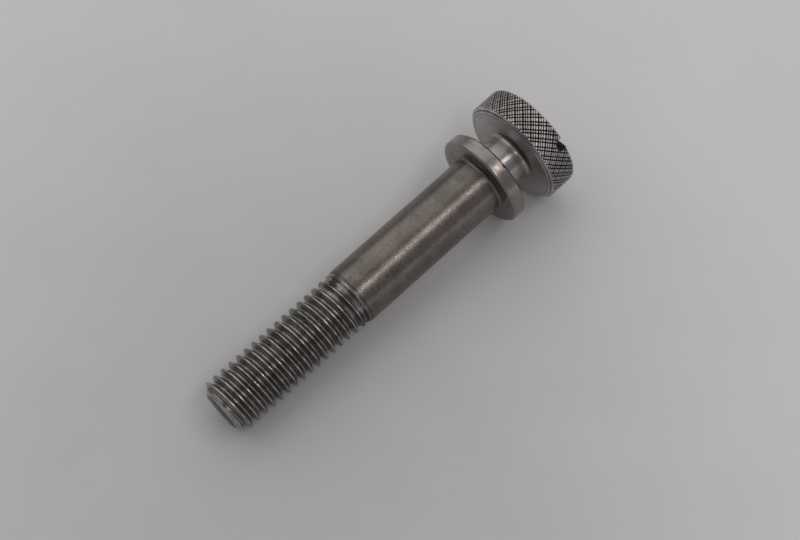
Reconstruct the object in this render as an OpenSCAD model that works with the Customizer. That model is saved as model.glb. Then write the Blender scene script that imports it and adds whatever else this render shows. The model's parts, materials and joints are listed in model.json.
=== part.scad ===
// Knurled cover screw, turned from one bar: a threaded point, a plain shank,
// a flange that seats on the cover, a short neck, and a knurled thumb head
// with a driver slot across its domed top.
//
// The screw is built along +Z from its tip, and then laid on its side as it
// comes to rest: on the thread near the tip and on the rim of the head.
// Angles round the screw are counted from the side that faces down at rest.

/* [Thread] */
// Diameter over the thread crests
thread_d = 7.8; // [7:0.05:8]
// Distance from one crest to the next
pitch = 1.25; // [1:0.05:1.4]
// Threaded length, from the tip to where the groove has faded out
thread_l = 21.4; // [16:0.1:28]
// Length over which the groove fades out
runout_l = 2.6; // [1.5:0.1:4]

/* [Tip] */
// Length of the chamfered point
tip_l = 1; // [0.6:0.05:1.6]
// How far the flat of the tip lies inside the bottom of the groove
tip_inset = 0.53; // [0.2:0.01:1]

/* [Shank] */
// Diameter of the plain shank
shank_d = 8; // [7.5:0.05:9]
// Length of the cone from the end of the thread to the full shank
lead_l = 0.6; // [0.3:0.05:1.2]
// Length under the flange, from the tip to the seat
grip_l = 44; // [34:0.5:60]
// Radius of the fillet between shank and flange
seat_fillet = 0.35; // [0.15:0.05:0.8]

/* [Flange] */
// Diameter of the flange
flange_d = 13; // [11:0.1:14]
// Thickness of the flange
flange_t = 2; // [1.2:0.1:3]
// Size of the chamfer on both edges of the flange
flange_edge = 0.22; // [0.1:0.01:0.4]

/* [Neck] */
// Diameter of the neck
neck_d = 6.5; // [5.5:0.1:8]
// Length of the neck, from the flange to the head
neck_l = 3.8; // [2:0.1:6]
// Radius of the fillets at both ends of the neck
neck_fillet = 0.6; // [0.3:0.05:0.9]

/* [Head] */
// Diameter over the peaks of the knurl
head_d = 15; // [13.5:0.1:18]
// Height of the head, to the top of its dome
head_h = 5.2; // [4:0.1:8]
// Height of the bevel under the knurl
bevel_h = 0.3; // [0.15:0.05:0.6]
// Radius of the round edge above the knurl
edge_round = 0.35; // [0.2:0.05:0.6]
// Slope of the domed top at its edge, in degrees
crown_slope = 18.5; // [8:0.5:28]
// Distance round the head from one knurl groove to the next of the same hand
knurl_pitch = 0.714; // [0.6:0.01:1.2]
// Depth of the knurl grooves
knurl_depth = 0.18; // [0.1:0.01:0.25]

/* [Slot] */
// Width of the driver slot
slot_w = 1.4; // [1:0.1:2.2]
// Depth of the driver slot, from the top of the dome
slot_depth = 2.4; // [1.4:0.1:3]
// Direction of the slot round the screw
slot_turn = 46.2; // [0:0.1:180]

/* [Hidden] */
steel = [0.42, 0.41, 0.40];
$fn = 96;

// Thread form: 60 degree flanks, with the crest and the groove bottom cut off
// flat at an eighth and a sixth of the sharp form
flank = 30;
sharp_h = pitch / (2 * tan(flank));
groove_depth = sharp_h * (1 - 1 / 8 - 1 / 6);
crest_flat = pitch / 8;
crest_r = thread_d / 2;
root_r = crest_r - groove_depth;
tip_r = root_r - tip_inset;
fade_z = thread_l - runout_l;
fade_slope = groove_depth / runout_l;
// Height of the crest that passes the side facing down
first_crest = 0.587 * pitch / 1.25;
thread_sides = 40;
step = 360 / thread_sides;
turns = ceil((thread_l + 2 * pitch) / pitch) + 1;
rows = 4 * turns;
// Points closer than this are one point
same_point = 0.0001;
// The blank under the lead cone stands proud of the crests by this much
lead_step = 0.06;
// The thread's solid runs on into the shank by this much
thread_lap = 0.05;
thread_end = thread_l + thread_lap;

// Heights of the flange, the neck and the head
shank_r = shank_d / 2;
flange_r = flange_d / 2;
neck_r = neck_d / 2;
neck_z = grip_l + flange_t;
head_z = neck_z + neck_l;
knurl_z = head_z + bevel_h;
top_z = head_z + head_h;

// The dome stands this far inside the round edge, and reaches into the head
crown_gap = 0.08;
crown_lap = 0.1;
edge_r = head_d / 2 - edge_round * (1 - sin(crown_slope));
crown_base_r = edge_r - crown_gap;
crown_r = crown_base_r / sin(crown_slope);
crown_h = crown_base_r * tan(crown_slope / 2);
edge_z = top_z - crown_h;
round_z = edge_z - edge_round * cos(crown_slope);

// How far a fillet reaches into the face that it runs out on
fillet_lap = 0.1;

// Knurl grid: peaks and groove crossings alternate round the head and up it.
// The count is a multiple of 4, so that both sides end on a peak.
head_r = head_d / 2;
groove_r = head_r - knurl_depth;
columns = 4 * round(PI * head_d / knurl_pitch / 2);
column_turn = 360 / columns;
levels = 2 * round((round_z - knurl_z) / (PI * head_d / columns) / 2);
level_h = (round_z - knurl_z) / levels;
round_steps = 3;
// The bevel ends this far inside the first groove crossings
bevel_gap = 0.08;
bevel_r = groove_r * cos(column_turn) - bevel_gap;

// The screw rests on a crest near the tip and on the rim that sticks out
// furthest below the line from there: the head's, or the flange's
rest_crest_z = first_crest - crest_flat / 2
    + pitch * ceil((tip_l - first_crest + crest_flat / 2) / pitch);
rim_peak_r = head_r * cos(column_turn);
head_rise = atan((rim_peak_r - crest_r) / (knurl_z + level_h - rest_crest_z));
flange_rise = atan((flange_r - crest_r) / (grip_l + flange_edge - rest_crest_z));
rest_tilt = max(head_rise, flange_rise);
rest_h = crest_r * cos(rest_tilt) - rest_crest_z * sin(rest_tilt);
low_end_x = -tip_r * sin(rest_tilt);
high_end_x = (top_z - crown_r) * cos(rest_tilt) + crown_r;
mid_x = (low_end_x + high_end_x) / 2;

// A point at an angle, radius and height
function at(angle, r, z) = [r * cos(angle), r * sin(angle), z];

function limit(v, low, high) = min(max(v, low), high);

// --- Thread -----------------------------------------------------------------

// Radius of the groove's bottom, which rises to the crests at the run-out
function floor_r(z) = min(crest_r, root_r + max(0, z - fade_z) * fade_slope);

// Radius of the chamfered point's cone
function cone_r(z) = tip_r + z * (crest_r - tip_r) / tip_l;

// Where the flank that falls from a crest's edge at height z meets the groove's
// bottom (dir = 1), and where the flank that rises to one leaves it (dir = -1)
function flank_foot(z, dir) =
    let (full = z + dir * groove_depth * tan(flank))
    full < fade_z ? full
        : (z + dir * tan(flank) * (groove_depth + fade_slope * fade_z))
            / (1 + dir * fade_slope * tan(flank));

// Height of profile row k at an angle. Each turn has four rows: both edges of
// the crest, and both edges of the groove's bottom.
function row_z(angle, k) =
    let (crest = first_crest + pitch * (angle / 360 + floor(k / 4) - 2), q = k % 4)
    q == 0 ? crest - crest_flat / 2
        : q == 1 ? crest + crest_flat / 2
        : q == 2 ? flank_foot(crest + crest_flat / 2, 1)
        : flank_foot(crest + pitch - crest_flat / 2, -1);

function row_r(k, z) = k % 4 < 2 ? crest_r : floor_r(z);

// Height at which the point's cone cuts the profile between rows k and k + 1,
// or the height of row k if it doesn't
function cut_z(angle, k) =
    let (
        z0 = row_z(angle, k),
        z1 = row_z(angle, k + 1),
        f0 = row_r(k, z0) - cone_r(z0),
        f1 = row_r(k + 1, z1) - cone_r(z1)
    )
    f0 * f1 < 0 ? z0 + (z1 - z0) * f0 / (f0 - f1) : z0;

// The two points that row k has at an angle: its own, and its cut by the cone
function row_points(angle, k) =
    let (
        z = limit(row_z(angle, k), 0, thread_end),
        cut = limit(cut_z(angle, k), 0, thread_end),
        r = min(row_r(k, z), cone_r(z)),
        r_cut = cut == z ? r : cone_r(cut)
    )
    [at(angle, r, z), at(angle, r_cut, cut)];

module thread() {
    last = 2 * rows - 1;
    points = [
        for (side = [0:thread_sides - 1], k = [0:rows - 1])
            each row_points(side * step, k)
    ];
    // One turn further on, a row has become the row four above it
    function corner(side, j) = side < thread_sides
        ? side * 2 * rows + min(j, last)
        : min(j + 8, last);
    // Rows that meet, or lie past the thread's ends, leave triangles without area
    function apart(a, b) = norm(points[a] - points[b]) > same_point;
    walls = [
        for (
            side = [0:thread_sides - 1],
            j = [0:last - 1],
            face = [
                [corner(side, j), corner(side, j + 1), corner(side + 1, j + 1)],
                [corner(side, j), corner(side + 1, j + 1), corner(side + 1, j)]
            ]
        )
            if (apart(face[0], face[1]) && apart(face[1], face[2]) && apart(face[2], face[0]))
                face
    ];
    tip_face = [for (side = [0:thread_sides - 1]) corner(side, 0)];
    end_face = [for (side = [thread_sides - 1:-1:0]) corner(side, last)];
    polyhedron(points, concat(walls, [tip_face, end_face]), convexity = 40);
}

// --- Shank, flange and neck -------------------------------------------------

// The corner between a wall at radius r and a face at height z, filled with a
// round of the given radius. The face is above it (dir = 1) or below (dir = -1).
module corner_fillet(r, z, radius, dir) {
    low = dir > 0 ? z - radius : z - fillet_lap;
    difference() {
        translate([r - radius, low]) square([2 * radius, radius + fillet_lap]);
        translate([r + radius, z - dir * radius]) circle(radius);
    }
}

module plain_profile() {
    polygon([
        [0, thread_l],
        [crest_r + lead_step, thread_l],
        [shank_r, thread_l + lead_l],
        [shank_r, grip_l],
        [flange_r - flange_edge, grip_l],
        [flange_r, grip_l + flange_edge],
        [flange_r, neck_z - flange_edge],
        [flange_r - flange_edge, neck_z],
        [neck_r, neck_z],
        [neck_r, head_z],
        [bevel_r - bevel_h, head_z],
        [bevel_r, knurl_z],
        [0, knurl_z]
    ]);
    corner_fillet(shank_r, grip_l, seat_fillet, 1);
    corner_fillet(neck_r, neck_z, neck_fillet, -1);
    corner_fillet(neck_r, head_z, neck_fillet, 1);
}

module plain_body() {
    rotate_extrude() plain_profile();
}

// --- Head -------------------------------------------------------------------

// Height and radius of the round edge above the knurl, step by step
function round_level(i) = let (a = (90 - crown_slope) * i / round_steps)
    [head_r - edge_round * (1 - cos(a)), round_z + edge_round * sin(a)];

// Radius of the knurl at a grid point: a peak or a groove crossing in turn.
// The lowest level is all groove, so that the teeth rise from the bevel.
function knurl_r(column, level) =
    level > 0 && (column + level) % 2 == 0 ? head_r : groove_r;

function knurl_point(column, level) = level <= levels
    ? at(column * column_turn, knurl_r(column, level), knurl_z + level * level_h)
    : let (edge = round_level(level - levels))
        at(column * column_turn, min(knurl_r(column, levels), edge[0]), edge[1]);

module knurled_drum() {
    top = levels + round_steps;
    points = [
        for (level = [0:top], column = [0:columns - 1]) knurl_point(column, level)
    ];
    function corner(column, level) = level * columns + column % columns;
    // Each square of the grid is folded along the groove that crosses it
    walls = [
        for (level = [0:top - 1], column = [0:columns - 1])
            let (
                a = corner(column, level),
                b = corner(column + 1, level),
                c = corner(column + 1, level + 1),
                d = corner(column, level + 1)
            )
            each (column + level) % 2 == 0
                ? [[d, b, a], [d, c, b]]
                : [[c, b, a], [d, c, a]]
    ];
    under_face = [for (column = [0:columns - 1]) corner(column, 0)];
    top_face = [for (column = [columns - 1:-1:0]) corner(column, top)];
    polyhedron(points, concat(walls, [under_face, top_face]), convexity = 10);
}

module crown() {
    rotate_extrude()
        intersection() {
            translate([0, top_z - crown_r]) circle(crown_r);
            translate([0, edge_z - crown_lap])
                square([crown_base_r, crown_h + 2 * crown_lap]);
        }
}

module slot_cutter() {
    clear = 1;
    rotate(slot_turn)
        translate([-head_r - clear, -slot_w / 2, top_z - slot_depth])
            cube([2 * (head_r + clear), slot_w, slot_depth + clear]);
}

// ----------------------------------------------------------------------------

module screw() {
    color(steel)
        translate([-mid_x, 0, rest_h])
            rotate([0, 90 - rest_tilt, 0]) {
                thread();
                plain_body();
                difference() {
                    union() {
                        knurled_drum();
                        crown();
                    }
                    slot_cutter();
                }
            }
}

screw();
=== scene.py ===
"""Dressed model of a knurled cover screw that lies on a pale floor.

The screw is turned from one bar. Each region of it is built here as a fine mesh
about its own axis, in millimetres from the tip, and then laid on its side as the
the fixed frame has it. Finishes are node materials that read two values stored on
the meshes: where a point lies on the screw, and how dark it is painted there,
partly with dirt and partly with painted shade.
"""

import json
import logging
import math
from dataclasses import dataclass, field
from enum import Enum

import bmesh
import bpy
import numpy as np
from mathutils import Matrix, Vector


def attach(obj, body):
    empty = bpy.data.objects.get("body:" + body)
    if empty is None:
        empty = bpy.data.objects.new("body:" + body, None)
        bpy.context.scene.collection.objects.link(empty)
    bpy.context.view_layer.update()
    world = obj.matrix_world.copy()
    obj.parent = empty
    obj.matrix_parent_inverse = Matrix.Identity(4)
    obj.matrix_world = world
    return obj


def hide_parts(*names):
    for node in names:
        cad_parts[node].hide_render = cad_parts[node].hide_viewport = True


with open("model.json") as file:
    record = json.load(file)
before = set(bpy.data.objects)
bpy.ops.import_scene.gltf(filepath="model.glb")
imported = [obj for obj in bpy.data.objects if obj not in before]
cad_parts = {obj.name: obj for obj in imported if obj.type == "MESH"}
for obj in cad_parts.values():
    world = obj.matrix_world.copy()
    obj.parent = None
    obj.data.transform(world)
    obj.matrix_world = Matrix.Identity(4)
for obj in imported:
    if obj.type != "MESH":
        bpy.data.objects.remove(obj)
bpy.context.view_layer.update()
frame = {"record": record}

MM = 0.001
PLACE = "turned_place"
DIRT_AND_SHADE = "groove_dirt_and_shade"
LOG = logging.getLogger("cover_screw")

Profile = list[tuple[float, ...]]
Span = tuple[float, float]
Tone = tuple[float, float, float]


class Hand(Enum):
    """The two ways in which knurl grooves run round the head."""

    LEFT = -1
    RIGHT = 1


class Corner(Enum):
    """Which side of a corner its fillet fills."""

    BELOW_FACE = 1
    ABOVE_FACE = -1


@dataclass(frozen=True)
class RestPose:
    """How the screw lies: on a thread crest near the tip and on the head's rim.

    The tip's centre is in metres, and the rise of the axis towards the head in radians.
    """

    tip: tuple[float, ...]
    rise: float

    @classmethod
    def from_frame(cls) -> "RestPose":
        """Returns the pose of the frame's thread mount, which starts at the tip's centre."""
        mount = next(m for m in frame["record"]["mounts"] if m["name"] == "thread")
        return cls(tuple(mount["pos_m"]), math.asin(-mount["axis"][2]))

    def matrix(self) -> Matrix:
        """Returns the transform from the screw's own axes to the lying pose."""
        turn = Matrix.Rotation(math.radians(90.0) - self.rise, 4, "Y")
        return Matrix.Translation(Vector(self.tip)) @ turn


REST = RestPose.from_frame()
# The side of the screw that faces the camera, as an angle round its axis
NEAR_SIDE = math.radians(-160.209)


# --- Mesh helpers -------------------------------------------------------------


def make_object(
    name: str,
    points: np.ndarray,
    faces: list[tuple[int, ...]],
    dirt_and_shade: np.ndarray | None = None,
    crease_deg: float = 28.0,
) -> bpy.types.Object:
    """Makes a smooth-shaded object from points given in millimetres.

    Args:
        name: Name of the object and its mesh.
        points: One row of x, y and z for each point, about the screw's axis.
        faces: Point numbers of each face.
        dirt_and_shade: How dark each point is painted, from 0 to 1, with dirt and painted shade.
        crease_deg: Edges sharper than this are shaded as sharp.

    Returns:
        The object, laid in the rest pose.
    """
    mesh = bpy.data.meshes.new(name)
    mesh.from_pydata((points * MM).tolist(), [], faces)
    mesh.validate()
    place = mesh.attributes.new(PLACE, "FLOAT_VECTOR", "POINT")
    place.data.foreach_set("vector", points.astype(np.float32).ravel())
    shade = mesh.attributes.new(DIRT_AND_SHADE, "FLOAT", "POINT")
    values = np.zeros(len(points)) if dirt_and_shade is None else dirt_and_shade
    shade.data.foreach_set("value", values.astype(np.float32).ravel())
    mesh.transform(REST.matrix())
    mesh.update()
    piece = bpy.data.objects.new(name, mesh)
    bpy.context.scene.collection.objects.link(piece)
    mesh.shade_smooth()
    mesh.set_sharp_from_angle(angle=math.radians(crease_deg))
    return piece


def revolve(
    name: str, profile: Profile, sides: int = 256, crease_deg: float = 28.0
) -> bpy.types.Object:
    """Turns a closed piece from a profile that starts and ends on the axis.

    Args:
        name: Name of the object.
        profile: Radius, height and, where it is darkened, how dark each point is, from
        the lower pole up.
        sides: Number of points round the axis.
        crease_deg: Edges sharper than this are shaded as sharp.

    Returns:
        The object, laid in the rest pose.
    """
    angles = np.arange(sides) * 2.0 * math.pi / sides
    rings = profile[1:-1]
    points = [(0.0, 0.0, profile[0][1])]
    dirt_and_shade = [0.0]
    for radius, height, *rest in rings:
        for a in angles:
            points.append((radius * math.cos(a), radius * math.sin(a), height))
        dirt_and_shade += [rest[0] if rest else 0.0] * sides
    points.append((0.0, 0.0, profile[-1][1]))
    dirt_and_shade.append(0.0)
    top = len(points) - 1
    faces: list[tuple[int, ...]] = []
    for i in range(sides):
        j = (i + 1) % sides
        faces.append((0, 1 + j, 1 + i))
        for k in range(len(rings) - 1):
            low, high = 1 + k * sides, 1 + (k + 1) * sides
            faces.append((low + i, low + j, high + j, high + i))
        last = 1 + (len(rings) - 1) * sides
        faces.append((last + i, last + j, top))
    return make_object(name, np.array(points), faces, np.array(dirt_and_shade), crease_deg)


def fillet(radius: float, height: float, size: float, corner: Corner) -> Profile:
    """Returns the profile of a fillet where a shaft meets a face.

    Args:
        radius: Radius of the shaft.
        height: Height of the face.
        size: Radius of the fillet.
        corner: Whether the shaft is below the face or above it.

    Returns:
        Profile points, ordered from low to high.
    """
    side = corner.value
    centre = (radius + size, height - side * size)
    arc = [
        (
            centre[0] - size * math.cos(math.radians(a)),
            centre[1] + side * size * math.sin(math.radians(a)),
        )
        for a in range(0, 91, 10)
    ]
    return arc if corner is Corner.BELOW_FACE else arc[::-1]


def smooth_step(values: np.ndarray, low: float, high: float) -> np.ndarray:
    """Returns 0 below low, 1 above high and a smooth rise between them."""
    t = np.clip((values - low) / (high - low), 0.0, 1.0)
    return t * t * (3.0 - 2.0 * t)


def wander(turn: np.ndarray, seed: int, low: int, high: int) -> np.ndarray:
    """Returns an uneven wave round the screw, about -1 to 1, with whole periods.

    Args:
        turn: Angle of each point.
        seed: Picks the wave.
        low: Fewest periods in a turn.
        high: Most periods in a turn.

    Returns:
        The wave's value at each point.
    """
    waves = 6
    usual_peak = 3.5
    dice = np.random.default_rng(seed)
    total = np.zeros_like(turn)
    for _ in range(waves):
        total = total + np.sin(turn * dice.integers(low, high) + dice.uniform(0.0, 2.0 * math.pi))
    return total / usual_peak


def smooth_min(a: np.ndarray, b: np.ndarray, blend: float) -> np.ndarray:
    """Returns the lower of two surfaces, with their corner rounded by blend."""
    h = np.clip(0.5 + 0.5 * (b - a) / blend, 0.0, 1.0)
    return b + (a - b) * h - blend * h * (1.0 - h)


# --- Finishes -----------------------------------------------------------------


class Nodes:
    """A short way to write a node material."""

    def __init__(self, name: str) -> None:
        """Starts a material of that name with a shader and its output."""
        self.material = bpy.data.materials.new(name)
        self.material.use_nodes = True
        self.tree = self.material.node_tree
        self.tree.nodes.clear()
        self.shader = self.tree.nodes.new("ShaderNodeBsdfPrincipled")
        output = self.tree.nodes.new("ShaderNodeOutputMaterial")
        self.tree.links.new(self.shader.outputs[0], output.inputs[0])

    def put(self, socket: bpy.types.NodeSocket, value: object) -> None:
        """Links or sets a socket, whichever the value calls for."""
        if isinstance(value, bpy.types.NodeSocket):
            self.tree.links.new(value, socket)
        else:
            socket.default_value = value

    def stored(self, name: str, output: str) -> bpy.types.NodeSocket:
        """Returns a value stored on the mesh."""
        node = self.tree.nodes.new("ShaderNodeAttribute")
        node.attribute_name = name
        return node.outputs[output]

    def math(self, operation: str, a: object, b: object = 0.0) -> bpy.types.NodeSocket:
        """Returns the result of a sum on two values."""
        node = self.tree.nodes.new("ShaderNodeMath")
        node.operation = operation
        self.put(node.inputs[0], a)
        self.put(node.inputs[1], b)
        return node.outputs[0]

    def parts(self, vector: bpy.types.NodeSocket) -> list[bpy.types.NodeSocket]:
        """Returns the x, y and z of a vector."""
        node = self.tree.nodes.new("ShaderNodeSeparateXYZ")
        self.put(node.inputs[0], vector)
        return list(node.outputs)

    def join(self, x: object, y: object, z: object) -> bpy.types.NodeSocket:
        """Returns a vector made of three values."""
        node = self.tree.nodes.new("ShaderNodeCombineXYZ")
        for socket, value in zip(node.inputs, (x, y, z)):
            self.put(socket, value)
        return node.outputs[0]

    def mixed(self, a: object, share_a: float, b: object, share_b: float) -> bpy.types.NodeSocket:
        """Returns the sum of two values, each times its share."""
        return self.math(
            "ADD", self.math("MULTIPLY", a, share_a), self.math("MULTIPLY", b, share_b)
        )

    def noise(
        self,
        vector: bpy.types.NodeSocket,
        scale: float,
        detail: float = 3.0,
        coarseness: float = 0.6,
    ) -> bpy.types.NodeSocket:
        """Makes a noise.

        Args:
            vector: Where it is read.
            scale: Number of cells in a unit of the vector.
            detail: How many finer noises are added.
            coarseness: How strong each finer noise is beside the one before.

        Returns:
            The noise's value, from 0 to 1.
        """
        node = self.tree.nodes.new("ShaderNodeTexNoise")
        self.put(node.inputs["Vector"], vector)
        node.inputs["Scale"].default_value = scale
        node.inputs["Detail"].default_value = detail
        node.inputs["Roughness"].default_value = coarseness
        return node.outputs["Fac"]

    def cells(self, vector: bpy.types.NodeSocket, scale: float) -> bpy.types.NodeSocket:
        """Returns the distance to the nearest of many scattered points."""
        node = self.tree.nodes.new("ShaderNodeTexVoronoi")
        self.put(node.inputs["Vector"], vector)
        node.inputs["Scale"].default_value = scale
        return node.outputs["Distance"]

    def span(
        self, value: bpy.types.NodeSocket, source: Span, target: Span = (0.0, 1.0)
    ) -> bpy.types.NodeSocket:
        """Maps a value smoothly from one span to another.

        Args:
            value: The value to map.
            source: The span it is taken from. Outside it, the result stays level.
            target: The results at the two ends of the source.

        Returns:
            The mapped value.
        """
        node = self.tree.nodes.new("ShaderNodeMapRange")
        node.interpolation_type = "SMOOTHSTEP"
        self.put(node.inputs["Value"], value)
        node.inputs["From Min"].default_value = source[0]
        node.inputs["From Max"].default_value = source[1]
        node.inputs["To Min"].default_value = target[0]
        node.inputs["To Max"].default_value = target[1]
        return node.outputs["Result"]

    def blend(self, share: object, a: object, b: object) -> bpy.types.NodeSocket:
        """Returns a colour between a and b."""
        node = self.tree.nodes.new("ShaderNodeMix")
        node.data_type = "RGBA"
        self.put(node.inputs["Factor"], share)
        self.put(node.inputs["A"], a if not isinstance(a, tuple) else (*a, 1.0))
        self.put(node.inputs["B"], b if not isinstance(b, tuple) else (*b, 1.0))
        return node.outputs["Result"]

    def bump(
        self, height: bpy.types.NodeSocket, depth: float, under: object = None
    ) -> bpy.types.NodeSocket:
        """Disturbs the surface's normal.

        Args:
            height: The pattern that stands for height, from 0 to 1.
            depth: How high a full step of the pattern is, in millimetres.
            under: A normal that is disturbed already.

        Returns:
            The disturbed normal.
        """
        node = self.tree.nodes.new("ShaderNodeBump")
        node.inputs["Strength"].default_value = 1.0
        node.inputs["Distance"].default_value = depth * MM
        self.put(node.inputs["Height"], height)
        if under is not None:
            self.put(node.inputs["Normal"], under)
        return node.outputs["Normal"]


@dataclass(frozen=True)
class TurnedSteel:
    """Steel as the lathe tool leaves it, with rings, grain, pits and stains.

    Lengths are in millimetres, scales count cells in a millimetre, and a span holds
    the two values of a pattern between which its mark comes in. Flecks, pits and the
    darkening stored on the mesh, which is partly dirt and partly painted shade, blend
    towards groove_tone.
    """

    name: str
    tone: Tone
    stain: Tone
    groove_tone: Tone = (0.03, 0.03, 0.03)
    roughness: float = 0.3
    smoother: float = 0.08
    rougher: float = 0.1
    groove_roughness: float = 0.2
    usual_radius: float = 4.0
    ring_pitch: float = 0.14
    ring_depth: float = 0.004
    ring_break: float = 0.015
    grain_size: float = 0.1
    grain_depth: float = 0.006
    grain_stretch: float = 3.0
    grain_span: Span = (0.3, 0.7)
    spark_scale: float = 4.2
    spark_depth: float = 0.004
    stain_scale: float = 0.3
    stain_span: Span = (0.36, 0.64)
    fleck_share: float = 0.25
    fleck_scale: float = 2.6
    fleck_span: Span = (0.5, 0.68)
    pit_share: float = 0.6
    pit_spacing: float = 0.9
    pit_depth: float = 0.0133
    pit_span: Span = (0.04, 0.14)

    def material(self) -> bpy.types.Material:
        """Returns the node material for this finish."""
        n = Nodes(self.name)
        place = n.stored(PLACE, "Vector")
        dirt_and_shade = n.stored(DIRT_AND_SHADE, "Fac")

        # Places counted as a lathe would: out from the axis, round it, and along it
        x, y, z = n.parts(place)
        out = n.math("SQRT", n.mixed(n.math("MULTIPLY", x, x), 1.0, n.math("MULTIPLY", y, y), 1.0))
        c, s = math.cos(NEAR_SIDE), math.sin(NEAR_SIDE)
        turn = n.math("ARCTAN2", n.mixed(y, c, x, -s), n.mixed(x, c, y, s))
        run = n.math("MULTIPLY", turn, self.usual_radius)
        ringed = n.join(out, n.math("MULTIPLY", run, self.ring_break), z)
        streaked = n.join(out, n.math("MULTIPLY", run, 1.0 / self.grain_stretch), z)
        rings = n.noise(ringed, 0.5 / self.ring_pitch)
        grain = n.noise(streaked, 0.5 / self.grain_size)
        fleck = n.noise(streaked, self.fleck_scale)
        spark = n.noise(place, self.spark_scale, detail=2.0)
        cloud = n.noise(place, self.stain_scale, detail=4.0)
        pits = n.span(n.cells(place, 1.0 / self.pit_spacing), self.pit_span, (1.0, 0.0))

        # Tone: clouds of stain, fine flecks, dark pits, and the stored darkening, which is dirt and
        # painted shade in grooves and hollows
        tone = n.blend(n.span(cloud, self.stain_span), self.tone, self.stain)
        flecked = n.span(fleck, self.fleck_span, (0.0, self.fleck_share))
        tone = n.blend(flecked, tone, self.groove_tone)
        tone = n.blend(n.math("MULTIPLY", pits, self.pit_share), tone, self.groove_tone)
        tone = n.blend(dirt_and_shade, tone, self.groove_tone)
        n.put(n.shader.inputs["Base Color"], tone)

        limits = (self.roughness - self.smoother, self.roughness + self.rougher)
        rough = n.span(grain, self.grain_span, limits)
        rough = n.math("ADD", rough, n.math("MULTIPLY", dirt_and_shade, self.groove_roughness))
        n.put(n.shader.inputs["Roughness"], rough)
        n.shader.inputs["Metallic"].default_value = 1.0

        normal = n.bump(rings, self.ring_depth)
        normal = n.bump(grain, self.grain_depth, normal)
        normal = n.bump(spark, self.spark_depth, normal)
        sunk = n.math("MULTIPLY", pits, -1.0)
        normal = n.bump(sunk, self.pit_share * self.pit_depth, normal)
        n.put(n.shader.inputs["Normal"], normal)
        return n.material


@dataclass(frozen=True)
class FloorPaint:
    """A pale matt floor with painted shade, darkest at a spot near the screw and a little lighter
    away from it.

    Lengths are in metres. The spot is an oval, whose short way lies at right angles
    to its long way.
    """

    tone: Tone = (0.56, 0.559, 0.557)
    far_tone: Tone = (0.75, 0.749, 0.758)
    painted_shade_spot: tuple[float, float] = (-0.03, -0.014)
    long_way: tuple[float, float] = (0.65, 0.76)
    long_share: float = 0.6
    spread: Span = (0.005, 0.088)
    cloud_scale: float = 60.0
    cloud_span: Span = (0.3, 0.7)
    cloud_share: float = 0.05
    roughness: float = 0.6
    specular: float = 0.2

    def material(self) -> bpy.types.Material:
        """Returns the node material of the floor."""
        n = Nodes("pale_floor")
        where = n.tree.nodes.new("ShaderNodeTexCoord").outputs["Object"]
        x, y, _ = n.parts(where)
        # Painted shade: the floor's tone darkens towards an oval spot near the screw
        a = n.math("SUBTRACT", x, self.painted_shade_spot[0])
        b = n.math("SUBTRACT", y, self.painted_shade_spot[1])
        c, s = self.long_way
        across, along = n.mixed(a, s, b, -c), n.mixed(a, c, b, s)
        across = n.math("MULTIPLY", across, across)
        along = n.math("MULTIPLY", along, along)
        distance = n.math("SQRT", n.mixed(across, 1.0, along, self.long_share))
        away = n.span(distance, self.spread)
        cloud = n.noise(where, self.cloud_scale)
        cloud = n.span(cloud, self.cloud_span, (-self.cloud_share, self.cloud_share))
        tone = n.blend(n.math("ADD", away, cloud), self.tone, self.far_tone)
        n.put(n.shader.inputs["Base Color"], tone)
        n.shader.inputs["Roughness"].default_value = self.roughness
        n.shader.inputs["Specular IOR Level"].default_value = self.specular
        return n.material


# --- The screw's regions ------------------------------------------------------


@dataclass
class Region:
    """A turned region of the screw, which carries its own finish."""

    finish: TurnedSteel
    pieces: list[bpy.types.Object] = field(default_factory=list)

    def dress(self, piece: bpy.types.Object, finish: TurnedSteel | None = None) -> None:
        """Gives a piece its finish and ties it to the frame.

        Args:
            piece: The object, already in place.
            finish: A finish other than the region's own.
        """
        piece.data.materials.clear()
        piece.data.materials.append((finish or self.finish).material())
        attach(piece, "root")
        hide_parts("screw")
        self.pieces.append(piece)


@dataclass(frozen=True)
class ThreadDirtAndShade:
    """How dark the thread is painted, from 0 to 1, and where.

    The groove and the line under each crest are painted shade, placed by shares of the
    groove's depth. The smear is dirt, placed by millimetres below the end of the thread,
    and it changes around the screw and along it. The tip is darkened at its end.
    """

    groove: float = 0.34
    groove_span: Span = (0.04, 0.5)
    line: float = 0.5
    line_at: float = 0.16
    line_width: float = 0.09
    smear: float = 0.35
    smear_limit: float = 0.8
    smear_span: Span = (2.4, 1.2)
    around: float = 0.5
    around_waves: tuple[int, int] = (2, 9)
    along: float = 0.3
    along_rate: float = 9.0
    tip: float = 0.85
    tip_reach: float = 0.02
    seed: int = 7

    def shade(
        self, sunk: np.ndarray, height: np.ndarray, angles: np.ndarray, end: float
    ) -> np.ndarray:
        """Returns how dark each point is.

        Args:
            sunk: How deep each point lies, as a share of the groove's depth.
            height: Height of each point above the tip.
            angles: Angle of each row of points.
            end: Height at which the thread ends.

        Returns:
            The shade of each point, from 0 to 1.
        """
        # Painted shade deep in the groove and along a line under each crest
        dark = smooth_step(sunk, *self.groove_span) * self.groove
        dark = dark + self.line * np.exp(-(((sunk - self.line_at) / self.line_width) ** 2))
        wave = wander(angles, self.seed, *self.around_waves)
        patches = self.smear + self.around * wave[:, None]
        patches = patches + self.along * np.sin(height * self.along_rate)
        whole = smooth_step(height, end - self.smear_span[0], end - self.smear_span[1])
        dark = dark + whole * np.clip(patches, 0.0, self.smear_limit)
        dark = np.maximum(dark, self.tip * (height < self.tip_reach))
        return np.clip(dark, 0.0, 1.0)


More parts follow.
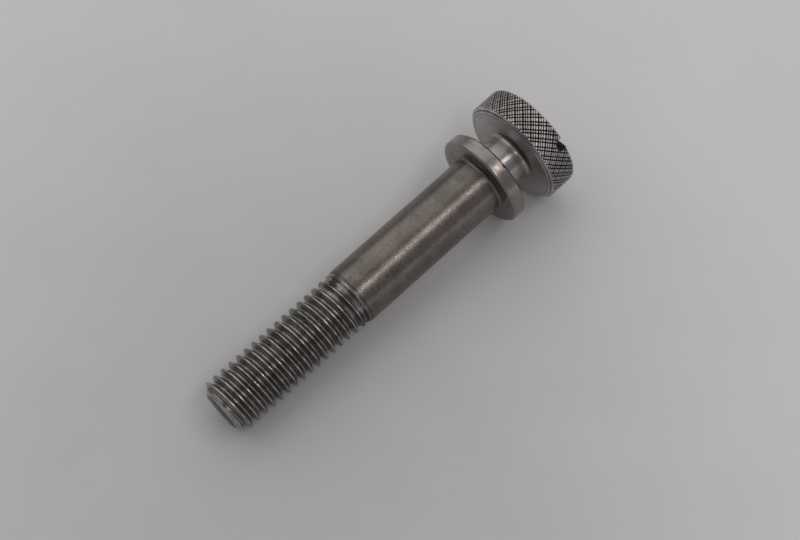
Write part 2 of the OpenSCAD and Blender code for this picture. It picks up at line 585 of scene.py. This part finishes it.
@dataclass
class ThreadedPoint(Region):
    """The thread, its run-out and the chamfered tip."""

    crest_r: float = 3.9
    pitch: float = 1.25
    groove: float = 0.766872
    crest_flat: float = 0.15625
    flank_deg: float = 30.0
    crest_round: float = 0.0003
    root_round: float = 0.09
    length: float = 21.4
    fade: float = 18.8
    first_crest: float = 0.587
    tip_r: float = 2.60321
    tip_length: float = 1.0
    ripple: float = 0.022
    ripple_reach: float = 0.3
    ripple_waves: tuple[int, int] = (4, 36)
    seed: int = 40
    half_samples: tuple[float, ...] = (
        0.0, 0.045, 0.07, 0.088, 0.11, 0.15, 0.24, 0.33, 0.42, 0.48, 0.515, 0.545, 0.58,
    )
    turns_below: int = 2
    spare_turns: int = 3
    sides: int = 144
    crease_deg: float = 40.0
    dirt_and_shade: ThreadDirtAndShade = ThreadDirtAndShade()

    def samples(self) -> np.ndarray:
        """Returns the profile's samples over one pitch, closer where it bends."""
        other = [self.pitch - h for h in self.half_samples[:0:-1]]
        return np.array([*self.half_samples, self.pitch / 2, *other])

    def depth(self, offset: np.ndarray) -> np.ndarray:
        """Returns the groove's depth at a distance along the axis from a crest."""
        away = np.abs((offset + self.pitch / 2) % self.pitch - self.pitch / 2)
        slope = 1.0 / math.tan(math.radians(self.flank_deg))
        raw = (away - self.crest_flat / 2) * slope
        top = 0.5 * (raw + np.sqrt(raw * raw + self.crest_round))
        return smooth_min(top, np.full_like(top, self.groove), self.root_round)

    def cone(self, height: np.ndarray) -> np.ndarray:
        """Returns the radius of the tip's cone at a height."""
        return self.tip_r + height * (self.crest_r - self.tip_r) / self.tip_length

    def radius(self, height: np.ndarray, offset: np.ndarray) -> np.ndarray:
        """Returns the surface's radius, with the run-out and the tip's cone.

        Args:
            height: Height of each point above the tip.
            offset: Distance of each point from a crest, along the axis.

        Returns:
            The radius of each point.
        """
        floor = np.clip(1.0 - (height - self.fade) / (self.length - self.fade), 0.0, 1.0)
        radius = self.crest_r - np.minimum(self.depth(offset), self.groove * floor)
        return np.minimum(radius, self.cone(height))

    def wear(self, angles: np.ndarray, offsets: np.ndarray) -> np.ndarray:
        """Returns how worn the crest of each turn is.

        Args:
            angles: Angle of each row round the axis.
            offsets: Distance of each sample from the first one, along the axis.

        Returns:
            A row for each angle. Each turn starts and ends unworn, so the turns meet.
        """
        turns = np.floor(offsets / self.pitch)
        uneven = np.zeros((len(angles), len(offsets)))
        for k in range(int(turns.max()) + 1):
            seed = self.seed + k
            wave = wander(angles, seed, *self.ripple_waves)
            wave = wave - wander(np.zeros_like(angles), seed, *self.ripple_waves)
            uneven[:, turns == k] = wave[:, None]
        return np.clip(uneven, 0.0, None)

    def faces(self, height: np.ndarray, samples: int) -> list[tuple[int, ...]]:
        """Returns the faces between the rows, with the last row one pitch on.

        Args:
            height: Height of each point, with a row for each angle.
            samples: Number of samples in one pitch.

        Returns:
            Point numbers of each face that lies between the tip and the end.
        """
        count = height.shape[1]
        faces: list[tuple[int, ...]] = []
        for i in range(self.sides):
            for k in range(count - 1):
                a, b = i * count + k, i * count + k + 1
                c, d = b + count, a + count
                if i + 1 == self.sides:
                    c, d = k + 1 + samples, k + samples
                    if c >= count:
                        continue
                corners = [height.flat[p] for p in (a, b, c, d)]
                if max(corners) > 0.0 and min(corners) < self.length:
                    faces.append((a, d, c, b))
        return faces

    def build(self) -> None:
        """Builds the helical surface as rows that run along the thread."""
        one_pitch = self.samples()
        turns = math.ceil(self.length / self.pitch) + self.spare_turns
        offsets = np.concatenate([one_pitch + self.pitch * t for t in range(turns)])
        angles = np.arange(self.sides) * 2.0 * math.pi / self.sides
        start = self.first_crest - self.turns_below * self.pitch
        rise = start + self.pitch * angles / (2.0 * math.pi)
        height = np.clip(rise[:, None] + offsets[None, :], 0.0, self.length)
        radius = self.radius(height, height - rise[:, None])
        near_crest = np.clip(1.0 - (self.crest_r - radius) / self.ripple_reach, 0.0, 1.0)
        radius = radius - self.ripple * near_crest * self.wear(angles, offsets)
        x = radius * np.cos(angles)[:, None]
        y = radius * np.sin(angles)[:, None]
        points = np.stack([x, y, height], -1).reshape(-1, 3)
        sunk = (np.minimum(self.crest_r, self.cone(height)) - radius) / self.groove
        shade = self.dirt_and_shade.shade(sunk, height, angles, self.length).ravel()
        faces = self.faces(height, len(one_pitch))
        piece = make_object("threaded_point", points, faces, shade, self.crease_deg)
        self.close_ends(piece)
        self.dress(piece)

    def close_ends(self, piece: bpy.types.Object) -> None:
        """Joins points that meet and closes the tip and the inner end.

        Args:
            piece: The open threaded surface.
        """
        same_point = 0.0005 * MM
        no_length = 0.0002 * MM
        work = bmesh.new()
        work.from_mesh(piece.data)
        loose = [v for v in work.verts if not v.link_faces]
        bmesh.ops.delete(work, geom=loose, context="VERTS")
        bmesh.ops.remove_doubles(work, verts=work.verts, dist=same_point)
        bmesh.ops.dissolve_degenerate(work, dist=no_length, edges=work.edges)
        rim = [e for e in work.edges if e.is_boundary]
        bmesh.ops.holes_fill(work, edges=rim, sides=0)
        bmesh.ops.recalc_face_normals(work, faces=work.faces)
        work.to_mesh(piece.data)
        work.free()
        piece.data.set_sharp_from_angle(angle=math.radians(self.crease_deg))


@dataclass
class Shank(Region):
    """The lead cone, the plain shank and the fillet under the flange.

    Each point of the tool lines is a step out from start_r, a step up from the start,
    and how dark it is painted.
    """

    radius: float = 4.0
    start: float = 21.4
    start_r: float = 3.96
    lead: float = 0.6
    lead_corner: tuple[float, float] = (0.008, 0.1)
    tool_lines: tuple[tuple[float, float, float], ...] = (
        (-0.05, 0.0, 0.8), (-0.04, 0.03, 0.6), (0.0, 0.05, 0.0), (0.005, 0.2, 0.0),
        (-0.03, 0.23, 0.9), (-0.03, 0.26, 1.0), (0.012, 0.29, 0.1),
    )
    seat: float = 44.0
    fillet: float = 0.35
    ring_gap: float = 0.8
    lap: float = 0.3
    sides: int = 192

    def build(self) -> None:
        """Turns the shank, with fine tool lines on the lead cone."""
        inward, downward = self.lead_corner
        cone_end = self.start + self.lead
        profile: Profile = [(0.0, self.start)]
        profile += [(self.start_r + o, self.start + u, d) for o, u, d in self.tool_lines]
        profile += [(self.radius - inward, cone_end - downward), (self.radius, cone_end)]
        last = self.seat - self.fillet - self.ring_gap / 2
        steps = np.arange(cone_end + self.ring_gap, last, self.ring_gap)
        profile += [(self.radius, float(z)) for z in steps]
        profile += fillet(self.radius, self.seat, self.fillet, Corner.BELOW_FACE)
        profile += [(self.radius, self.seat + self.lap), (0.0, self.seat + self.lap)]
        self.dress(revolve("plain_shank", profile, self.sides))


@dataclass
class Flange(Region):
    """The flange that seats on the cover.

    Its hidden middle is sunk by recess on both sides. Each corner of the chamfers is
    softened by an extra ring, and a band beside each chamfer keeps the face flat.
    """

    radius: float = 6.5
    low: float = 44.0
    thickness: float = 2.0
    edge: float = 0.22
    soft: float = 0.012
    soft_run: float = 0.02
    face_soft: float = 0.008
    face_run: float = 0.03
    under_inner_r: float = 3.9
    under_band: float = 0.9
    top_inner_r: float = 3.1
    top_band: float = 0.8
    recess: float = 0.4
    recess_run: float = 0.3
    rim_margins: Span = (0.4, 0.35)
    ring_gap: float = 0.12
    sides: int = 320
    nick_turn: float = 5.5
    nick_depth: float = 0.13
    nick_width: float = 0.16
    nick_height: float = 0.22
    nick_reach: float = 1.8
    nick_shade: float = 1.6

    def build(self) -> None:
        """Turns the flange and knocks one small nick into its upper edge."""
        low, top = self.low, self.low + self.thickness
        r, e = self.radius, self.edge
        middle = self.under_inner_r - self.recess_run
        profile: Profile = [(0.0, low + self.recess), (middle, low + self.recess)]
        profile += [(self.under_inner_r, low), (r - e - self.under_band, low)]
        profile += [(r - e - self.face_run, low), (r - e, low + self.face_soft)]
        profile += [(r - self.soft, low + e - self.soft), (r, low + e + self.soft_run)]
        first, last = low + self.rim_margins[0], top - self.rim_margins[1]
        profile += [(r, float(z)) for z in np.arange(first, last, self.ring_gap)]
        profile += [(r, top - e - self.soft_run), (r - self.soft, top - e + self.soft)]
        profile += [(r - e / 2, top - e / 2)]
        profile += [(r - e, top - self.face_soft), (r - e - self.face_run, top)]
        profile += [(r - e - self.top_band, top), (self.top_inner_r, top)]
        middle = self.top_inner_r - self.recess_run
        profile += [(middle, top - self.recess), (0.0, top - self.recess)]
        piece = revolve("seat_flange", profile, self.sides)
        self.knock(piece)
        self.dress(piece)

    def knock(self, piece: bpy.types.Object) -> None:
        """Dents the upper edge at one place and paints shade into the dent.

        Args:
            piece: The turned flange.
        """
        turn = NEAR_SIDE + math.radians(self.nick_turn)
        top = self.low + self.thickness
        centre = np.array([self.radius * math.cos(turn), self.radius * math.sin(turn), top])
        size = np.array([self.nick_width, self.nick_width, self.nick_height])
        place = piece.data.attributes[PLACE]
        dirt_and_shade = piece.data.attributes[DIRT_AND_SHADE]
        inverse = REST.matrix().inverted()
        for v, p, d in zip(piece.data.vertices, place.data, dirt_and_shade.data):
            away = np.linalg.norm((np.array(p.vector) - centre) / size)
            if away < self.nick_reach:
                push = self.nick_depth * math.exp(-away * away)
                local = inverse @ v.co
                local.z -= push * MM
                flat = Vector((local.x, local.y, 0.0))
                local -= flat.normalized() * push * MM
                v.co = REST.matrix() @ local
                # Painted shade in the dent
                d.value = min(1.0, self.nick_shade * math.exp(-away * away))


@dataclass
class Neck(Region):
    """The neck between flange and head, and the head's smooth underside.

    Each point of the tool line is a step in from outer_r and how dark it is painted.
    """

    under_finish: TurnedSteel | None = None
    radius: float = 3.25
    low: float = 46.0
    high: float = 49.8
    fillet: float = 0.6
    outer_r: float = 6.93
    lap: float = 0.3
    ring_margins: Span = (0.9, 0.8)
    ring_gap: float = 0.4
    under_sunk: float = 0.2
    under_start: float = 0.06
    under_gap: float = 0.3
    under_thickness: float = 0.5
    tool_line: tuple[tuple[float, float], ...] = ((0.25, 0.3), (0.21, 0.3), (0.17, 0.0))
    rim: float = 0.02
    rim_slope: float = 0.1
    sides: int = 256

    def build(self) -> None:
        """Turns the neck with its two fillets, and the underside as a ring."""
        wide = self.radius + self.fillet
        profile: Profile = [(0.0, self.low - self.lap), (wide, self.low - self.lap)]
        profile += fillet(self.radius, self.low, self.fillet, Corner.ABOVE_FACE)
        first, last = self.low + self.ring_margins[0], self.high - self.ring_margins[1]
        steps = np.arange(first, last, self.ring_gap)
        profile += [(self.radius, float(z)) for z in steps]
        profile += fillet(self.radius, self.high, self.fillet, Corner.BELOW_FACE)
        profile += [(wide, self.high + self.lap), (0.0, self.high + self.lap)]
        self.dress(revolve("neck", profile, self.sides))

        face, outer = self.high, self.outer_r
        middle = face + self.under_sunk
        under: Profile = [(0.0, middle), (wide - self.lap, middle)]
        steps = np.arange(wide - self.under_start, outer - self.under_gap, self.under_gap)
        under += [(float(r), face) for r in steps]
        under += [(outer - inward, face, dirt_and_shade) for inward, dirt_and_shade in self.tool_line]
        under += [(outer - self.rim, face), (outer, face + self.rim)]
        under += [(outer - self.rim_slope, face + self.under_thickness)]
        under += [(0.0, face + self.under_thickness)]
        self.dress(revolve("head_underside", under, self.sides), self.under_finish)


@dataclass(frozen=True)
class Groove:
    """One groove of the knurling wheel: its place in the wheel's pitch, and depth."""

    phase: float
    depth: float


@dataclass(frozen=True)
class KnurlTrack:
    """The grooves that one knurling wheel leaves round the head.

    A groove's sides rise by flank. Beyond them the diamonds rise by crown, from
    crown_depth below the plain surface.
    """

    hand: Hand
    count: int
    lean: float
    grooves: tuple[Groove, ...]
    flank: float = 1.1
    crown: float = 0.22
    crown_depth: float = 0.035

    def depth(self, angle: np.ndarray, height: np.ndarray, radius: float) -> np.ndarray:
        """Returns how deep this wheel has cut at each point.

        Args:
            angle: Angle of each point from the near side.
            height: Height of each point above the tip.
            radius: Radius of the head.

        Returns:
            The depth of each point below the plain surface.
        """
        around = self.count / (2.0 * math.pi * radius)
        spacing = 1.0 / math.hypot(around, self.lean)
        phase = angle * self.count / (2.0 * math.pi) + self.hand.value * self.lean * height
        cut = np.zeros_like(angle)
        for g in self.grooves:
            away = np.abs((phase - g.phase + 0.5) % 1.0 - 0.5) * spacing
            cut = np.maximum(cut, g.depth - away * self.flank)
            cut = np.maximum(cut, self.crown_depth - away * self.crown)
        return cut


@dataclass
class KnurledHead(Region):
    """The thumb head: bevel, knurled band, round edge, top face and slot.

    Each of the bevel's lines is a height above the underside, and its painted shade,
    which darkens the bevel's middle. The inner face is a cone that rises inner_depth
    into the head, and the underside hides it.
    """

    slot_shade_finish: TurnedSteel | None = None
    radius: float = 7.5
    low: float = 49.8
    low_r: float = 6.93
    bevel: float = 0.3
    bevel_lines: tuple[tuple[float, float], ...] = (
        (0.0, 0.0), (0.03, 0.0), (0.07, 0.7), (0.24, 0.7), (0.28, 0.0), (0.3, 0.0),
    )
    steep: float = 4.0
    side_start: float = 0.03
    height: float = 5.2
    edge: float = 0.35
    edge_z: float = 53.4986
    edge_span: Span = (8.0, 71.5)
    edge_rings: int = 9
    side_rings: int = 74
    crown_r: float = 22.6314
    crown_rings: tuple[float, ...] = (7.1, 6.6, 6.0, 5.3, 4.5, 3.6, 2.6, 1.5)
    inner_depth: float = 0.8
    slot_width: float = 1.4
    slot_depth: float = 2.4
    slot_turn: float = 46.2
    lead: float = 0.035
    lead_length: float = 0.45
    columns: int = 960
    crease_deg: float = 60.0
    dirt_and_shade_depth: float = 0.1
    dirt_and_shade_span: Span = (0.15, 0.65)
    tracks: tuple[KnurlTrack, ...] = (
        KnurlTrack(Hand.LEFT, 32, 0.66, (Groove(0.12, 0.135), Groove(0.72, 0.135))),
        KnurlTrack(
            Hand.RIGHT, 33, 0.72, (Groove(0.5, 0.145), Groove(0.82, 0.105), Groove(0.12, 0.105))
        ),
    )

    def levels(self) -> tuple[np.ndarray, np.ndarray, np.ndarray]:
        """Returns the height, plain radius and painted shade of the rings up the head's side."""
        foot = self.low + self.bevel
        bevel = [self.low + up for up, _ in self.bevel_lines]
        side = np.linspace(foot + self.side_start, self.edge_z, self.side_rings)
        turn = np.radians(np.linspace(*self.edge_span, self.edge_rings))
        heights = np.concatenate([bevel, side, self.edge_z + self.edge * np.sin(turn)])
        rounded = self.radius - self.edge * (1.0 - np.cos(turn))
        plain = np.concatenate([np.full(len(bevel) + len(side), self.radius), rounded])
        plain = plain - self.lead * np.clip(1.0 - (heights - foot) / self.lead_length, 0.0, 1.0)
        cone = self.low_r + (heights - self.low)
        rise = self.low_r + self.bevel + (heights - foot) * self.steep
        dirt_and_shade = np.zeros(len(heights))
        # Painted shade across the bevel's middle
        dirt_and_shade[: len(bevel)] = [shade for _, shade in self.bevel_lines]
        return heights, np.minimum(plain, np.maximum(cone, rise)), dirt_and_shade

    def surface(self) -> tuple[np.ndarray, np.ndarray]:
        """Returns the rings of points up the side and over the top, and how dark each is painted,
        with dirt and painted shade in the knurl's grooves.
        """
        heights, plain, dirt_and_shade = self.levels()
        angles = np.arange(self.columns) * 2.0 * math.pi / self.columns
        turn, height = np.meshgrid(angles - NEAR_SIDE, heights)
        turn = (turn + math.pi) % (2.0 * math.pi) - math.pi
        cut = np.zeros_like(turn)
        for track in self.tracks:
            cut = np.maximum(cut, track.depth(turn, height, self.radius))
        radius = np.minimum(plain[:, None], self.radius - cut)
        # Dirt and painted shade in the knurl's grooves, darker the deeper they are
        sunk = np.clip((plain[:, None] - radius) / self.dirt_and_shade_depth, 0.0, 1.0)
        shade = np.maximum(smooth_step(sunk, *self.dirt_and_shade_span), dirt_and_shade[:, None])

        inner = np.array(self.crown_rings)[:, None] * np.ones(self.columns)
        centre = self.low + self.height - self.crown_r
        radius = np.concatenate([radius, inner])
        height = np.concatenate([height, centre + np.sqrt(self.crown_r**2 - inner * inner)])
        rings = np.stack([radius * np.cos(angles), radius * np.sin(angles), height], -1)
        return rings, np.concatenate([shade, np.zeros_like(inner)])

    def build(self) -> None:
        """Builds the knurled side and the faces, and cuts the slot."""
        rings, dirt_and_shade = self.surface()
        count, columns = rings.shape[:2]
        poles = [[0.0, 0.0, self.low + self.inner_depth], [0.0, 0.0, self.low + self.height]]
        points = np.concatenate([rings.reshape(-1, 3), poles])
        foot, crown = count * columns, count * columns + 1
        last = (count - 1) * columns
        faces: list[tuple[int, ...]] = []
        for i in range(columns):
            j = (i + 1) % columns
            faces.append((foot, j, i))
            for k in range(count - 1):
                a, b = k * columns, (k + 1) * columns
                faces.append((a + i, a + j, b + j, b + i))
            faces.append((last + i, last + j, crown))
        shade = np.concatenate([dirt_and_shade.ravel(), [0.0, 0.0]])
        piece = make_object("knurled_head", points, faces, shade, self.crease_deg)
        self.dress(piece)
        self.cut_slot(piece)

    def cut_slot(self, piece: bpy.types.Object) -> None:
        """Cuts the driver slot and paints shade on its walls with the slot's near-black finish.

        Args:
            piece: The head, which already has its finish.
        """
        clear = 1.0
        reach = self.radius + clear
        top = self.low + self.height
        half = self.slot_width / 2
        turn = math.radians(self.slot_turn)
        c, s = math.cos(turn), math.sin(turn)
        corners = []
        for z in (top - self.slot_depth, top + clear):
            for x, y in ((-reach, -half), (reach, -half), (reach, half), (-reach, half)):
                corners.append((x * c - y * s, x * s + y * c, z))
        sides = [(0, 3, 2, 1), (4, 5, 6, 7), (0, 1, 5, 4), (1, 2, 6, 5), (2, 3, 7, 6), (3, 0, 4, 7)]
        cutter = make_object("slot_cutter", np.array(corners), sides)
        cutter.data.materials.append(self.slot_shade_finish.material())
        cut = piece.modifiers.new("slot", "BOOLEAN")
        cut.operation = "DIFFERENCE"
        cut.object = cutter
        cut.solver = "EXACT"
        cut.material_mode = "TRANSFER"
        graph = bpy.context.evaluated_depsgraph_get()
        mesh = bpy.data.meshes.new_from_object(piece.evaluated_get(graph))
        piece.modifiers.clear()
        piece.data = mesh
        mesh.name = "knurled_head"
        bpy.data.objects.remove(cutter)


@dataclass
class CoverScrew:
    """The whole screw, region by region from the tip to the head."""

    def finishes(self) -> dict[str, TurnedSteel]:
        """Returns the finish of each region."""
        return {
            "thread": TurnedSteel(
                "thread_steel", (0.415, 0.399, 0.376), (0.305, 0.294, 0.279),
                groove_tone=(0.055, 0.053, 0.052), roughness=0.25, ring_depth=0.0,
                grain_depth=0.01, spark_depth=0.016, pit_spacing=0.6, fleck_share=0.75,
            ),
            "shank": TurnedSteel(
                "shank_steel", (0.194, 0.17, 0.155), (0.145, 0.131, 0.121), roughness=0.28,
                grain_stretch=1.5, grain_depth=0.009, spark_depth=0.009,
            ),
            "flange": TurnedSteel(
                "flange_steel", (0.29, 0.27, 0.25), (0.24, 0.226, 0.212), roughness=0.26,
                grain_depth=0.007, spark_depth=0.005,
            ),
            "neck": TurnedSteel(
                "neck_steel", (0.34, 0.327, 0.314), (0.3, 0.29, 0.28), roughness=0.25,
                ring_depth=0.003, grain_depth=0.0003, spark_depth=0.0, grain_stretch=20.0,
                fleck_share=0.03, pit_share=0.05,
            ),
            # Painted light: the underside is a lighter copy of the neck's steel, brightened where
            # it reflects the shaded floor
            "under": TurnedSteel(
                "underside_steel_painted_lighter", (0.53, 0.515, 0.502), (0.46, 0.448, 0.438), roughness=0.33,
                ring_depth=0.006, grain_depth=0.001, spark_depth=0.0, grain_stretch=20.0,
                fleck_share=0.02, pit_share=0.02,
            ),
            # The near-black groove_tone is the dirt and painted shade in the knurl's grooves
            "head": TurnedSteel(
                "knurl_steel", (0.66, 0.64, 0.622), (0.4, 0.388, 0.378),
                groove_tone=(0.012, 0.011, 0.01), roughness=0.22, ring_depth=0.0,
                grain_depth=0.002, spark_depth=0.01,
            ),
            # Painted shade: the slot's walls take this near-black tone in place of the shade inside
            # the slot
            "slot": TurnedSteel(
                "slot_painted_shade", (0.035, 0.033, 0.032), (0.025, 0.024, 0.023), roughness=0.5,
                spark_depth=0.0, grain_depth=0.0,
            ),
        }

    def build(self) -> None:
        """Builds each region in order and reports it."""
        f = self.finishes()
        regions: list[Region] = [
            ThreadedPoint(f["thread"]),
            Shank(f["shank"]),
            Flange(f["flange"]),
            Neck(f["neck"], under_finish=f["under"]),
            KnurledHead(f["head"], slot_shade_finish=f["slot"]),
        ]
        for region in regions:
            region.build()
            for piece in region.pieces:
                LOG.info("%s: %d faces", piece.name, len(piece.data.polygons))


# --- Floor, lights and camera -------------------------------------------------


@dataclass(frozen=True)
class Lamp:
    """A soft area lamp that faces the screw, in metres and watts."""

    name: str
    place: tuple[float, float, float]
    size: tuple[float, float]
    power: float
    tint: Tone

    def hang(self, target: Vector) -> None:
        """Hangs the lamp and turns it to its target.

        Args:
            target: The point that the lamp faces.
        """
        data = bpy.data.lights.new(self.name, "AREA")
        data.shape = "RECTANGLE"
        data.size, data.size_y = self.size
        data.energy = self.power
        data.color = self.tint
        lamp = bpy.data.objects.new(self.name, data)
        lamp.location = self.place
        aim = target - Vector(self.place)
        lamp.rotation_euler = aim.to_track_quat("-Z", "Y").to_euler()
        bpy.context.scene.collection.objects.link(lamp)


@dataclass
class Studio:
    """The floor, the soft lights and the camera.

    The camera's place is in millimetres, and the rest is in metres.
    """

    eye: tuple[float, float, float] = (-54.5223, -60.3785, 170.0028)
    right: tuple[float, float, float] = (0.72662389, -0.68703546, 0.0)
    up: tuple[float, float, float] = (0.61650434, 0.65202861, 0.4413401)
    back: tuple[float, float, float] = (-0.3032163, -0.32068826, 0.89733991)
    lens: float = 65.4118
    clip: Span = (0.01, 20.0)
    floor_half: float = 1.5
    target: tuple[float, float, float] = (0.0, 0.0, 0.005)
    lamps: tuple[Lamp, ...] = (
        Lamp("window_lamp", (0.1, 0.62, 0.8), (1.8, 1.3), 4.4, (1.0, 0.99, 0.935)),
        Lamp("pane_lamp", (0.21, 0.66, 0.62), (0.8, 0.12), 0.06, (1.0, 0.95, 0.7)),
        Lamp("fill_lamp", (0.3, -1.2, 0.11), (2.0, 0.22), 0.7, (1.0, 0.97, 0.98)),
        Lamp("strip_lamp", (0.14, -0.31, 0.7), (0.7, 0.15), 1.05, (1.0, 0.92, 0.89)),
    )
    sky: float = 0.325
    sky_tint: Tone = (0.965, 0.962, 1.0)

    def floor(self) -> None:
        """Lays the floor, which is no part of the screw."""
        half = self.floor_half
        corners = [(-half, -half, 0.0), (half, -half, 0.0), (half, half, 0.0), (-half, half, 0.0)]
        mesh = bpy.data.meshes.new("pale_floor")
        mesh.from_pydata(corners, [], [(0, 1, 2, 3)])
        floor = bpy.data.objects.new("pale_floor", mesh)
        bpy.context.scene.collection.objects.link(floor)
        mesh.materials.append(FloorPaint().material())

    def lights(self) -> None:
        """Hangs the lamps and sets the even light of the room."""
        for lamp in self.lamps:
            lamp.hang(Vector(self.target))
        world = bpy.data.worlds.new("room")
        world.use_nodes = True
        back = world.node_tree.nodes["Background"]
        back.inputs["Color"].default_value = (*self.sky_tint, 1.0)
        back.inputs["Strength"].default_value = self.sky
        bpy.context.scene.world = world

    def camera(self) -> None:
        """Sets up the camera."""
        data = bpy.data.cameras.new("camera")
        data.sensor_fit = "HORIZONTAL"
        data.sensor_width = 36.0
        data.lens = self.lens
        data.clip_start, data.clip_end = self.clip
        camera = bpy.data.objects.new("camera", data)
        turn = Matrix((self.right, self.up, self.back)).transposed().to_4x4()
        camera.matrix_world = Matrix.Translation(Vector(self.eye) * MM) @ turn
        bpy.context.scene.collection.objects.link(camera)
        bpy.context.scene.camera = camera

    def build(self) -> None:
        """Builds the studio round the screw."""
        self.floor()
        self.lights()
        self.camera()
        bpy.context.scene.view_settings.view_transform = "Standard"


def main() -> None:
    """Builds the screw and its studio, and notes the sizes."""
    logging.basicConfig(level=logging.INFO, format="%(name)s: %(message)s")
    CoverScrew().build()
    Studio().build()


if __name__ == "__main__":
    main()
